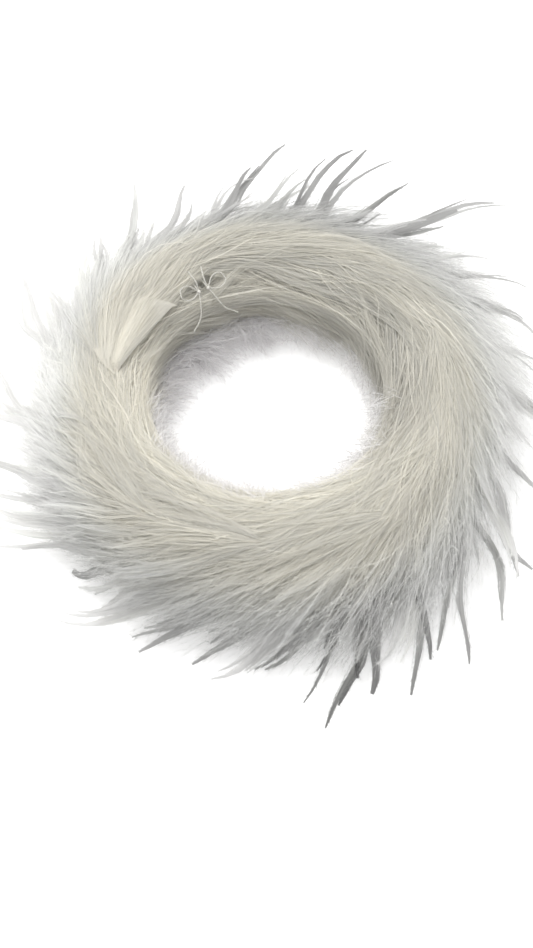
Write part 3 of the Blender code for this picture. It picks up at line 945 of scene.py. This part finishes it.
def twisted(name, light, dark, roughness, turns, metallic=0.0):
    """A node material with fine slanting bands, for cord, thread, quill and brushed metal."""
    mat = bpy.data.materials.new(name)
    mat.use_nodes = True
    nodes, links = mat.node_tree.nodes, mat.node_tree.links
    shader = nodes["Principled BSDF"]
    coords = nodes.new("ShaderNodeTexCoord")
    bands = nodes.new("ShaderNodeTexWave")
    bands.bands_direction = "DIAGONAL"
    bands.inputs["Scale"].default_value = turns
    bands.inputs["Distortion"].default_value = 3
    bands.inputs["Detail"].default_value = 2
    links.new(coords.outputs["Object"], bands.inputs["Vector"])
    ramp = nodes.new("ShaderNodeValToRGB")
    ramp.color_ramp.elements[0].color = dark
    ramp.color_ramp.elements[1].color = light
    links.new(bands.outputs["Fac"], ramp.inputs["Fac"])
    links.new(ramp.outputs["Color"], shader.inputs["Base Color"])
    bump = nodes.new("ShaderNodeBump")
    bump.inputs["Distance"].default_value = 0.0002
    bump.inputs["Strength"].default_value = 0.4
    links.new(bands.outputs["Fac"], bump.inputs["Height"])
    links.new(bump.outputs["Normal"], shader.inputs["Normal"])
    shader.inputs["Roughness"].default_value = roughness
    shader.inputs["Metallic"].default_value = metallic
    return mat


def dress_cad():
    """Looks for the hard pieces that are shown as packed."""
    looks = {
        "cord": twisted("cord", (0.78, 0.75, 0.66, 1), (0.52, 0.49, 0.41, 1), 0.85, 260),
        "quill": twisted("quill", (0.84, 0.82, 0.75, 1), (0.74, 0.70, 0.60, 1), 0.45, 40),
        "binding": twisted("binding_thread", (0.86, 0.84, 0.78, 1), (0.66, 0.64, 0.58, 1), 0.7, 420),
        "tie_string": twisted("tie_thread", (0.76, 0.75, 0.71, 1), (0.60, 0.59, 0.54, 1), 0.7, 420),
        "end_cap": twisted("cap_metal", (0.60, 0.63, 0.68, 1), (0.38, 0.41, 0.46, 1), 0.32, 300, 1.0),
    }
    for name, node in frame["nodes"].items():
        for start, mat in looks.items():
            if name.startswith(start):
                node.data.materials.clear()
                node.data.materials.append(mat)
        if name.startswith("tie_string"):
            thin = node.modifiers.new("thin", "DISPLACE")
            thin.strength = -THREAD_SLACK
            thin.mid_level = 0


def area(name, place, target, size, power, colour):
    """A square soft light that faces its target."""
    light = bpy.data.lights.new(name, "AREA")
    light.size = size
    light.energy = power
    light.color = colour
    obj = bpy.data.objects.new(name, light)
    bpy.context.scene.collection.objects.link(obj)
    obj.location = place
    obj.rotation_euler = (Vector(target) - Vector(place)).to_track_quat("-Z", "Y").to_euler()


def stage():
    """A pale floor, a soft sky and one key light."""
    bpy.ops.mesh.primitive_plane_add(size=12, location=(0, 0, -0.0003))
    floor = bpy.context.object
    floor.name = "floor"
    mat = bpy.data.materials.new("floor")
    mat.use_nodes = True
    shader = mat.node_tree.nodes["Principled BSDF"]
    shader.inputs["Base Color"].default_value = (0.85, 0.85, 0.85, 1)
    shader.inputs["Roughness"].default_value = 0.9
    shader.inputs["Emission Color"].default_value = (1, 1, 1, 1)
    shader.inputs["Emission Strength"].default_value = 0.35
    floor.data.materials.append(mat)
    world = bpy.data.worlds.new("studio")
    bpy.context.scene.world = world
    world.use_nodes = True
    nodes, links = world.node_tree.nodes, world.node_tree.links
    nodes["Background"].inputs["Color"].default_value = (1, 1, 1, 1)
    coords = nodes.new("ShaderNodeTexCoord")
    facing = nodes.new("ShaderNodeVectorMath")
    facing.operation = "DOT_PRODUCT"
    facing.inputs[1].default_value = Vector((-0.2, 0.35, 0.9)).normalized()
    spread = nodes.new("ShaderNodeMapRange")
    spread.inputs["From Min"].default_value = -1
    spread.inputs["To Min"].default_value = 0.3
    spread.inputs["To Max"].default_value = 1.35
    links.new(coords.outputs["Generated"], facing.inputs[0])
    links.new(facing.outputs["Value"], spread.inputs["Value"])
    # The backdrop itself is seen as plain white, like the floor
    seen = nodes.new("ShaderNodeLightPath")
    backdrop = nodes.new("ShaderNodeMix")
    backdrop.inputs["B"].default_value = 1.2
    links.new(seen.outputs["Is Camera Ray"], backdrop.inputs["Factor"])
    links.new(spread.outputs["Result"], backdrop.inputs["A"])
    links.new(backdrop.outputs["Result"], nodes["Background"].inputs["Strength"])
    area("key", (-0.4, 0.6, 1.4), (0, 0, 0), 0.9, 14, (1, 0.99, 0.96))
    bpy.context.scene.view_settings.view_transform = "Standard"


def camera():
    """Looks along +Y from above, with the ring above the middle of the picture."""
    elevation = math.radians(56)
    above = math.radians(2.95)
    distance = 0.65
    data = bpy.data.cameras.new("camera")
    data.lens = 50.9
    obj = bpy.data.objects.new("camera", data)
    bpy.context.scene.collection.objects.link(obj)
    obj.location = (0, -distance * math.cos(elevation), CORD_Z + distance * math.sin(elevation))
    obj.rotation_euler = (math.pi / 2 - elevation - above, 0, 0)
    data.dof.use_dof = True
    data.dof.focus_object = bpy.data.objects["floor"]
    data.dof.aperture_fstop = 11
    bpy.context.scene.camera = obj


FOLDED = 11  # the segment whose feather is folded over into a leaf
HAZY = (12, 1, 2, 3, 5, 6)  # segments whose haze is thickest
WALL_FLUES = 34
BODY_FLUES, BODY_STRANDS = 42, 34
STRAYS = 90
HAZE_FLUES, THICK_HAZE_FLUES, HAZE_STRANDS = 34, 48, 26
SHORT_LOCKS = 3
FUZZ = 5600
# The down of a segment: count, roughly its greatest length (mm), and its roots' greatest height (mm)
THIN_DOWN = (400, 9, 17)  # for the segments that DOWN leaves out
DOWN = {
    11: (1600, 22, 17), 12: (2600, 28, 17), 1: (1800, 20, 17), 2: (700, 12, 17), 5: (500, 18, 38),
    6: (900, 20, 40), 7: (900, 14, 40), 8: (1500, 18, 40), 9: (1500, 16, 38), 10: (900, 14, 30),
}


def plumage():
    """One piece of plumage for each segment of the cord, in place of its packed plume."""
    mat = feather_material()
    for segment in range(1, SEGMENTS + 1):
        rng = np.random.default_rng(SEED + segment)
        mesh = Mesh()
        core(mesh, segment)
        inner_wall(rng, mesh, segment, WALL_FLUES)
        body(rng, mesh, segment, BODY_FLUES, BODY_STRANDS)
        strays(rng, mesh, segment, STRAYS)
        haze_flues = THICK_HAZE_FLUES if segment in HAZY else HAZE_FLUES
        haze(rng, mesh, segment, haze_flues, HAZE_STRANDS)
        down(rng, mesh, segment, *DOWN.get(segment, THIN_DOWN))
        rows = [row for row in LONG_LOCKS if segment_of(row[0] + row[4]) == segment]
        locks(rng, mesh, rows, 20)
        locks(rng, mesh, short_locks(rng, segment, SHORT_LOCKS), 14)
        quill_barbs(rng, mesh, segment)
        root_fans(rng, mesh, segment)
        if segment == FOLDED:
            end_fold(rng, mesh)
        fuzz(rng, mesh, segment, FUZZ)
        obj = mesh.make(f"plumage_{segment:02d}", mat)
        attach(obj, f"segment_{segment:02d}")
        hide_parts(f"plume_{segment:02d}")


dress_cad()
plumage()
stage()
camera()
